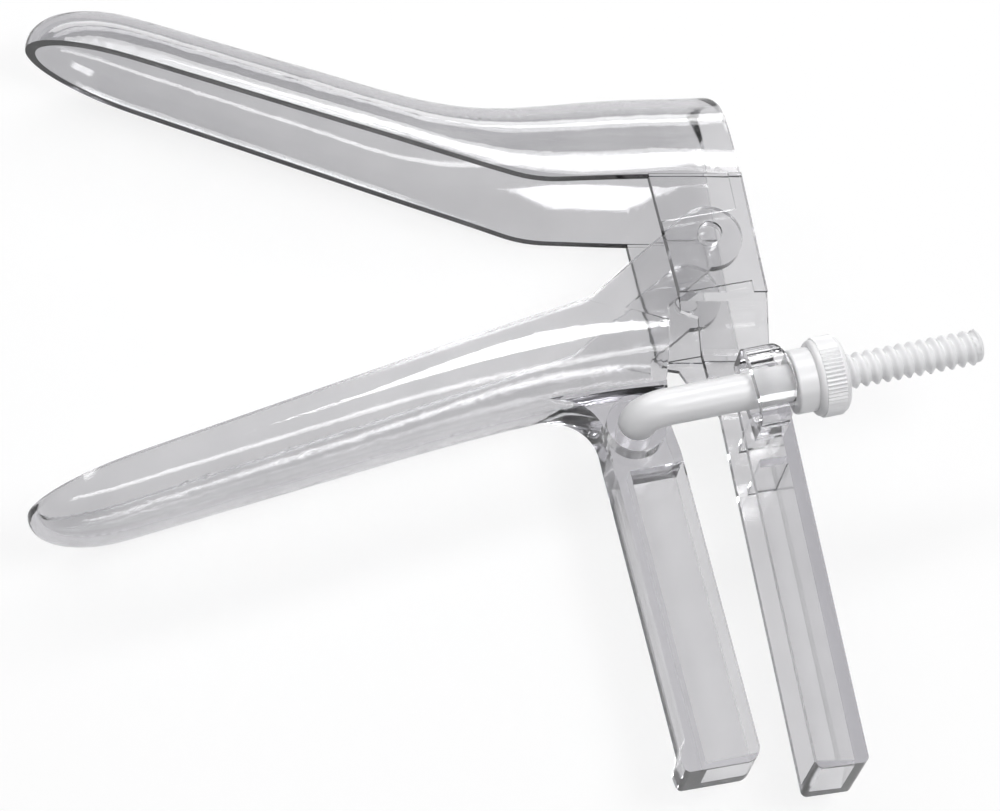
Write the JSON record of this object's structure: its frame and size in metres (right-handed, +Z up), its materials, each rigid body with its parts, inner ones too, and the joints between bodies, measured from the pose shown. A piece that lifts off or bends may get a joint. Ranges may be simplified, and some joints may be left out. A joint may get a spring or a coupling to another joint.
{
  "type": "bivalve speculum",
  "caption": "Clear moulded two-blade speculum, hinged at the collar and held open by a side screw with a knurled nut.",
  "frame": {"origin": "on the table under the middle of the part, which lies on its far cheek with the blades open", "axes": "+X from the blade tips to the handles, +Y from the handles' ends to the upper blade, +Z up from the table, across the blades"},
  "size_m": [0.1838, 0.1618, 0.0408],
  "materials": {
    "clear_plastic_lower": "clear moulded polystyrene, polished",
    "clear_plastic_upper": "clear moulded polystyrene, polished",
    "white_rod": "white moulded plastic, satin",
    "white_nut": "white moulded plastic, satin"
  },
  "bodies": {
    "lower_half": {"lower_blade": "clear_plastic_lower"},
    "upper_half": {"upper_blade": "clear_plastic_upper"},
    "rod": {"screw_rod": "white_rod"},
    "nut": {"screw_nut": "white_nut"}
  },
  "joints": [
    {"name": "blade_hinge", "type": "hinge", "parent": "lower_half", "child": "upper_half", "pos_m": [0.04006, 0.02479, 0.0176], "axis": [0, 0, 1], "range_deg": [-5, 41]},
    {"name": "screw_swing", "type": "hinge", "parent": "lower_half", "child": "rod", "pos_m": [0.02456, -0.01201, 0.0176], "axis": [0, 0, 1], "range_deg": [-2, 13]},
    {"name": "nut_travel", "type": "slide", "parent": "rod", "child": "nut", "axis": [0.9802, 0.198, 0], "range_m": [-0.0035, 0.0245]}
  ],
  "couplings": [
    {"joint": "screw_swing", "follows": "blade_hinge", "ratio": 0.2988},
    {"joint": "nut_travel", "follows": "blade_hinge", "m_per_rad": 0.0336}
  ]
}
